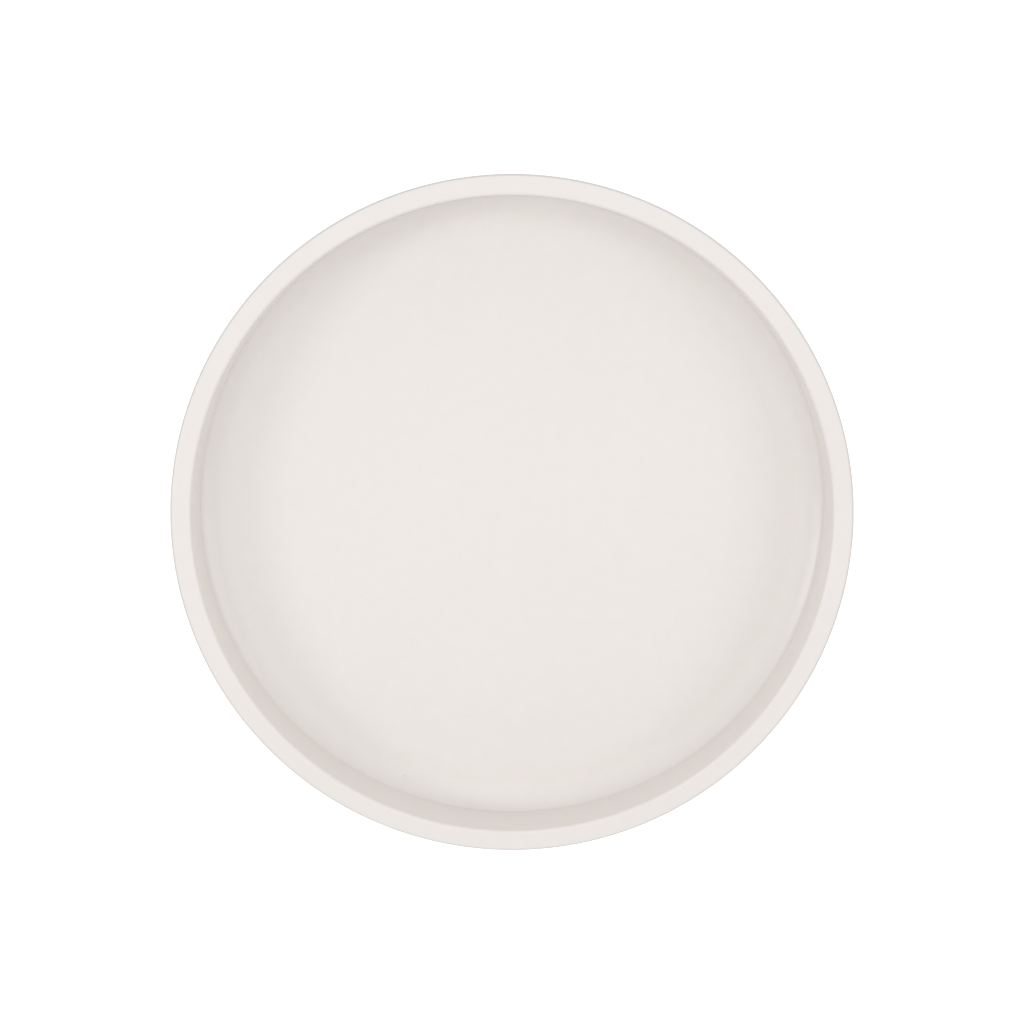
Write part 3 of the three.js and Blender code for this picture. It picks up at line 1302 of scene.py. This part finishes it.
@dataclass
class Base(Assembly):
    """The still base: its moulding, ribs, foot cups, feet, bush and hub cap."""

    wall: float = 2.2
    edge: float = 4.0
    hub_bore: float = 9.1
    hub_radius: float = 13.1
    hub_seat_z: float = 6.9
    well_bore: float = 13.5
    well_wall: float = 2.2
    cap_thickness: float = 1.1
    seat_clearance: float = 0.3
    rib_count: int = 12
    rib_thickness: float = 1.6
    rib_cap_clearance: float = 0.9
    ring_rib_depth: float = 3.0
    foot_count: int = 6
    cup_wall: float = 1.4
    pin_mark_radius: float = 2.6
    pin_mark_line: float = 66.0
    pin_mark_depth: float = 0.12
    grip_radii: tuple[float, ...] = (1.6, 3.6, 5.6)
    grip_width: float = 1.1
    grip_depth: float = 0.35
    bush_bore: float = 7.3
    bush_radius: float = 8.8
    flange_radius: float = 11.5
    flange_thickness: float = 1.0
    dimple_radius: float = 10.2
    dimple_depth: float = 0.25
    snap_wall: float = 1.2

    @property
    def cap_top_z(self) -> float:
        """The top of the hub cap's disc."""
        return self.datum.cap_low_z + self.cap_thickness

    @property
    def deck_under_z(self) -> float:
        """The underside of the deck."""
        return self.race.deck_z - self.wall

    def section(self) -> Section:
        """Gives the moulding's section.

        Returns:
            The closed section, from the hub's bore over the deck and back beneath.
        """
        r, deck, under = self.datum.base_radius, self.race.deck_z, self.deck_under_z
        low, half, line = self.datum.base_low_z, self.race.half_track, self.datum.ball_line
        bulge_z = deck - self.race.groove_depth - self.wall
        well_out = self.well_bore + self.well_wall
        well_z = self.cap_top_z + self.seat_clearance
        middle = (line - half + well_out) / 2
        rib_in, rib_out = middle - self.rib_thickness / 2, middle + self.rib_thickness / 2
        rib_z = under - self.ring_rib_depth
        return Section.of(
            (self.hub_bore, self.hub_seat_z, 0.2),
            (self.hub_bore, self.datum.hub_top_z, 0.3),
            (self.hub_radius - 0.1, self.datum.hub_top_z, 0.6),
            (self.hub_radius, deck, 0.8),
            *self.race.groove(up=True),
            (r, deck, self.edge),
            (r, low, 0.5),
            (r - self.wall + 0.3, low, 0.4),
            (r - self.wall, under, max(self.edge - self.wall, 0.5)),
            (line + half, under, 0.5),
            (line + half - 1.0, bulge_z, 0.6),
            (line - half + 1.0, bulge_z, 0.6),
            (line - half, under, 0.5),
            (rib_out, under, 0.5),
            (rib_out - 0.2, rib_z, 0.4),
            (rib_in + 0.2, rib_z, 0.4),
            (rib_in, under, 0.5),
            (well_out, under, 0.8),
            (well_out - 0.1, well_z, 0.3),
            (self.well_bore, well_z, 0.3),
            (self.well_bore, self.hub_seat_z, 0.4),
            closed=True,
        )

    def moulding(self) -> None:
        """Makes the base itself."""
        piece = self.shop.turn("base_moulding", self.section(), self.palette.base, 224)
        self.settle(piece, Body.BASE.value, Slot.BASE, "base")

    def ribs(self) -> None:
        """Makes the ribs under the deck."""
        half, low = self.rib_thickness / 2, self.cap_top_z + self.rib_cap_clearance
        start = self.well_bore + self.well_wall - 0.7
        end = self.datum.base_radius - 0.7 * self.wall
        high = self.race.deck_z - self.race.groove_depth - 0.6 * self.wall
        bar = self.shop.bar("base_rib_one", (start, -half, low), (end, half, high), 0.25, 0.3)
        piece = self.shop.repeat("base_ribs", bar, self.rib_count, self.palette.base)
        self.settle(piece, Body.BASE.value, Slot.BASE)

    def cups(self) -> None:
        """Makes the cups that hold the feet, and the ejector pins' marks."""
        seat = self.datum.foot_radius + self.seat_clearance
        low, seat_z = self.datum.base_low_z, self.datum.foot_top_z + self.seat_clearance
        high = self.race.deck_z - self.race.groove_depth - 0.6 * self.wall
        outer = seat + self.cup_wall
        section = Section.of(
            (0.0, seat_z),
            (seat - 0.05, seat_z, 0.3),
            (seat, low, 0.3),
            (outer - 0.1, low, 0.4),
            (outer, high, 0.2),
            (0.0, high),
            steps=4,
        )
        cup = self.shop.turn("foot_cup_one", section, self.palette.base, 48)
        self.shop.shift(cup, self.datum.foot_line)
        piece = self.shop.repeat("foot_cups", cup, self.foot_count, self.palette.base)
        self.settle(piece, Body.BASE.value, Slot.BASE)
        top_z, mark_z = self.deck_under_z + 0.3, self.deck_under_z - self.pin_mark_depth
        disc = Section.of(
            (0.0, top_z),
            (self.pin_mark_radius, top_z, 0.1),
            (self.pin_mark_radius, mark_z, 0.08),
            (0.0, mark_z),
            steps=3,
        )
        mark = self.shop.turn("pin_mark_one", disc, self.palette.base, 32)
        self.shop.shift(mark, self.pin_mark_line)
        marks = self.shop.repeat(
            "ejector_marks", mark, self.rib_count, self.palette.base, math.pi / self.rib_count
        )
        self.settle(marks, Body.BASE.value, Slot.BASE)

    def feet(self) -> None:
        """Makes the rubber feet, each with two gripping rings underneath."""
        r, top, groove = self.datum.foot_radius, self.datum.foot_top_z, self.grip_depth
        grips: list[tuple[float, ...]] = [(0.0, groove), (self.grip_radii[0] - 0.4, groove, 0.2)]
        for ring in self.grip_radii:
            end = ring + self.grip_width
            grips += [(ring, 0.0, 0.2), (end, 0.0, 0.2), (end + 0.3, groove, 0.15)]
            grips.append((end + 0.6, groove, 0.15))
        grips[-3:] = [(r - 0.35, 0.0, 0.3), (r, 0.7, 0.4), (r, top, 0.3), (0.0, top)]
        section = Section.of(*grips, steps=4, guard=0.2)
        foot = self.shop.turn("rubber_foot_one", section, self.palette.rubber, 56)
        self.shop.shift(foot, self.datum.foot_line)
        piece = self.shop.repeat("rubber_feet", foot, self.foot_count, self.palette.rubber)
        nodes = [f"foot_{i + 1}" for i in range(self.foot_count)]
        self.settle(piece, Body.BASE.value, Slot.RUBBER, *nodes)

    def pivot(self) -> None:
        """Makes the flanged bush in the hub and the cap that closes the hub."""
        low, high = (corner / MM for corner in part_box("pivot_bush"))
        flange_z = high.z - self.flange_thickness
        bush = Section.of(
            (self.bush_bore, low.z, 0.3),
            (self.bush_radius, low.z, 0.3),
            (self.bush_radius, flange_z, 0.3),
            (self.flange_radius, flange_z, 0.25),
            (self.flange_radius, high.z, 0.3),
            (self.bush_bore, high.z, 0.5),
            closed=True,
            steps=4,
        )
        sleeve = self.shop.turn("pivot_bush_sleeve", bush, self.palette.nylon, 96)
        self.settle(sleeve, Body.BASE.value, Slot.NYLON, "pivot_bush")
        cap_low, cap_high = (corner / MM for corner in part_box("hub_cap"))
        snap_out, rim = self.well_bore - self.seat_clearance, self.well_bore + self.well_wall
        snap_in, dimple_z = snap_out - self.snap_wall, cap_low.z + self.dimple_depth
        cap = Section.of(
            (0.0, dimple_z),
            (self.dimple_radius, dimple_z, 0.4),
            (self.dimple_radius + 0.6, cap_low.z, 0.3),
            (rim, cap_low.z, 0.5),
            (rim, self.cap_top_z, 0.15),
            (snap_out, self.cap_top_z, 0.2),
            (snap_out, cap_high.z - 0.9, 0.2),
            (snap_out + 0.15, cap_high.z - 0.6, 0.2),
            (snap_out - 0.3, cap_high.z, 0.2),
            (snap_in, cap_high.z, 0.2),
            (snap_in, self.cap_top_z, 0.3),
            (0.0, self.cap_top_z),
            steps=4,
        )
        lid = self.shop.turn("hub_cap_lid", cap, self.palette.base, 128)
        self.settle(lid, Body.BASE.value, Slot.BASE, "hub_cap")

    def build(self) -> None:
        """Makes every piece of the base."""
        self.moulding()
        self.ribs()
        self.cups()
        self.feet()
        self.pivot()


@dataclass
class BallRace(Assembly):
    """The nylon cage and the steel balls in it."""

    pocket_clearance: float = 0.35
    collar_wall: float = 1.9
    cage_clearance: float = 0.5
    band_width: float = 5.0
    band_thickness: float = 1.6

    def balls(self) -> int:
        """Makes each ball on its own body.

        Returns:
            How many balls there are.
        """
        names = [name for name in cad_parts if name.startswith("ball_") and name[5:].isdigit()]
        radius, steps = self.datum.ball_radius, 24
        angles = [math.pi * k / steps for k in range(1, steps)]
        rim = [(radius * math.sin(a), -radius * math.cos(a)) for a in angles]
        section = Section.of((0.0, -radius), *rim, (0.0, radius))
        for name in sorted(names, key=lambda text: int(text[5:])):
            low, high = (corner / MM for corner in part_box(name))
            piece = self.shop.turn(f"steel_{name}", section, self.palette.ball, 48)
            self.shop.shift(piece, *((low + high) / 2))
            self.settle(piece, name, Slot.BALL, name)
        return len(names)

    def cage(self, count: int) -> None:
        """Makes the cage from pockets and the links between them.

        Args:
            count: How many balls it keeps apart.
        """
        pocket = self.datum.ball_radius + self.pocket_clearance
        outer = pocket + self.collar_wall
        low, high = self.race.deck_z + self.cage_clearance, self.race.track_z - self.cage_clearance
        collar = Section.of(
            (pocket, low, 0.25),
            (outer, low, 0.4),
            (outer, high, 0.4),
            (pocket, high, 0.25),
            closed=True,
            steps=4,
        )
        ring = self.shop.turn("cage_pocket_one", collar, self.palette.nylon, 48)
        self.shop.shift(ring, self.datum.ball_line)
        link = self._link(count, outer - 0.9)
        joined = bmesh.new()
        joined.from_mesh(ring.data)
        joined.from_mesh(link.data)
        joined.to_mesh(ring.data)
        joined.free()
        self.shop.drop(link)
        piece = self.shop.repeat("ball_cage_ring", ring, count, self.palette.nylon)
        self.settle(piece, Body.CAGE.value, Slot.NYLON, "ball_cage")

    def _link(self, count: int, start: float, steps: int = 16) -> bpy.types.Object:
        """Makes the curved link from one pocket to the next.

        Args:
            count: How many pockets there are.
            start: How far from a pocket's middle the link starts, in millimetres.
            steps: How many parts its arc has.

        Returns:
            The link.
        """
        line, half = self.datum.ball_line, self.band_width / 2
        thick, ease = self.band_thickness / 2, 0.35
        first = start / line
        last = 2 * math.pi / count - first
        outline = Section.of(
            (line - half, self.datum.ball_z - thick, ease),
            (line + half, self.datum.ball_z - thick, ease),
            (line + half, self.datum.ball_z + thick, ease),
            (line - half, self.datum.ball_z + thick, ease),
            closed=True,
            steps=3,
        ).points()
        shape = bmesh.new()
        rows = []
        for k in range(steps + 1):
            a = first + (last - first) * k / steps
            rows.append(
                [
                    shape.verts.new((r * math.cos(a) * MM, r * math.sin(a) * MM, z * MM))
                    for r, z in outline
                ]
            )
        for one, two in zip(rows, rows[1:]):
            for i in range(len(outline)):
                j = (i + 1) % len(outline)
                shape.faces.new((one[i], one[j], two[j], two[i]))
        shape.faces.new(rows[0])
        shape.faces.new(rows[-1])
        bmesh.ops.recalc_face_normals(shape, faces=shape.faces[:])
        mesh = bpy.data.meshes.new("cage_link_one")
        shape.to_mesh(mesh)
        shape.free()
        return self.shop.keep("cage_link_one", mesh)

    def build(self) -> None:
        """Makes the balls and their cage."""
        self.cage(self.balls())


# -------------------------------------------------------------------- studio


@dataclass
class SoftBox:
    """A rectangular area light aimed at a point."""

    name: str
    place: Place
    aim: Place
    width: float
    height: float
    watts: float
    colour: Colour = (1.0, 1.0, 1.0)

    def build(self) -> None:
        """Puts the light in the scene."""
        lamp = bpy.data.lights.new(self.name, "AREA")
        lamp.shape = "RECTANGLE"
        lamp.size, lamp.size_y = self.width, self.height
        lamp.energy = self.watts
        lamp.color = self.colour
        holder = bpy.data.objects.new(self.name, lamp)
        holder.location = self.place
        aim = Vector(self.aim) - Vector(self.place)
        holder.rotation_euler = aim.to_track_quat("-Z", "Y").to_euler()
        holder.visible_camera = False
        bpy.context.scene.collection.objects.link(holder)


@dataclass
class Studio:
    """The pale floor, soft lights and the camera over the tray."""

    datum: Datum
    lean_deg: float = 8.3
    distance: float = 1.14
    sensor: float = 36.0
    field: float = 0.4562
    aim_y: float = 0.0031
    sky: float = 0.69
    floor_drop: float = 0.0003

    def floor(self) -> None:
        """Makes the pale floor, a hair below the feet."""
        mesh = bpy.data.meshes.new("studio_floor")
        shape = bmesh.new()
        bmesh.ops.create_circle(shape, cap_ends=True, radius=12.0, segments=96)
        bmesh.ops.translate(shape, verts=shape.verts[:], vec=(0.0, 0.0, -self.floor_drop))
        shape.to_mesh(mesh)
        shape.free()
        mesh.materials.append(Backdrop().build())
        Workshop.keep("studio_floor", mesh)

    def lights(self) -> None:
        """Makes the sky and the soft boxes."""
        world = bpy.data.worlds.new("studio")
        world.use_nodes = True
        background = world.node_tree.nodes["Background"]
        background.inputs["Color"].default_value = (1.0, 0.985, 0.985, 1.0)
        background.inputs["Strength"].default_value = self.sky
        bpy.context.scene.world = world
        middle = (0.0, 0.0, 0.03)
        for box in (
            SoftBox(
                "overhead", (-0.1, 0.3, 1.9), (-0.1, 0.3, 0.0), 1.5, 1.7, 5.5, (0.985, 1.0, 1.0)
            ),
            SoftBox("front", (0.0, -1.9, 1.1), middle, 1.5, 0.9, 1.3, (1.0, 0.93, 0.935)),
            SoftBox("back", (0.0, 1.9, 1.1), middle, 1.5, 0.9, 1.6, (1.0, 0.96, 0.96)),
            SoftBox("left_box", (-1.45, 0.0, 1.5), middle, 0.5, 0.6, 4.0),
            SoftBox("right_box", (1.45, 0.0, 1.5), middle, 0.9, 0.8, 3.5),
        ):
            box.build()

    def camera(self) -> None:
        """Puts the camera over the tray, leaning past its far side."""
        lean = math.radians(self.lean_deg)
        target = Vector((0.0, self.aim_y, self.datum.rim_z * MM))
        lens = bpy.data.cameras.new("camera")
        lens.sensor_width = self.sensor
        lens.lens = self.sensor * self.distance / self.field
        lens.clip_start, lens.clip_end = 0.01, 60.0
        holder = bpy.data.objects.new("camera", lens)
        back = Vector((0.0, math.sin(lean), math.cos(lean)))
        holder.location = target + back * self.distance
        holder.rotation_euler = (-lean, 0.0, 0.0)
        bpy.context.scene.collection.objects.link(holder)
        bpy.context.scene.camera = holder

    def build(self) -> None:
        """Sets the whole studio up."""
        self.floor()
        self.lights()
        self.camera()
        bpy.context.scene.view_settings.view_transform = "Standard"
        bpy.context.scene.view_settings.look = "None"


# ---------------------------------------------------------------------- main


def main() -> None:
    """Builds the turntable and its studio in order."""
    logging.basicConfig(level=logging.INFO, format="%(name)s: %(message)s")
    datum = Datum.read()
    race = Race(datum)
    Studio(datum).build()
    shop, palette = Workshop(), Palette()
    for kind in (Tray, Base, BallRace):
        assembly = kind(datum, race, shop, palette)
        assembly.build()
        LOG.info("%s: %d pieces", kind.__name__, len(assembly.made))


if __name__ == "__main__":
    main()
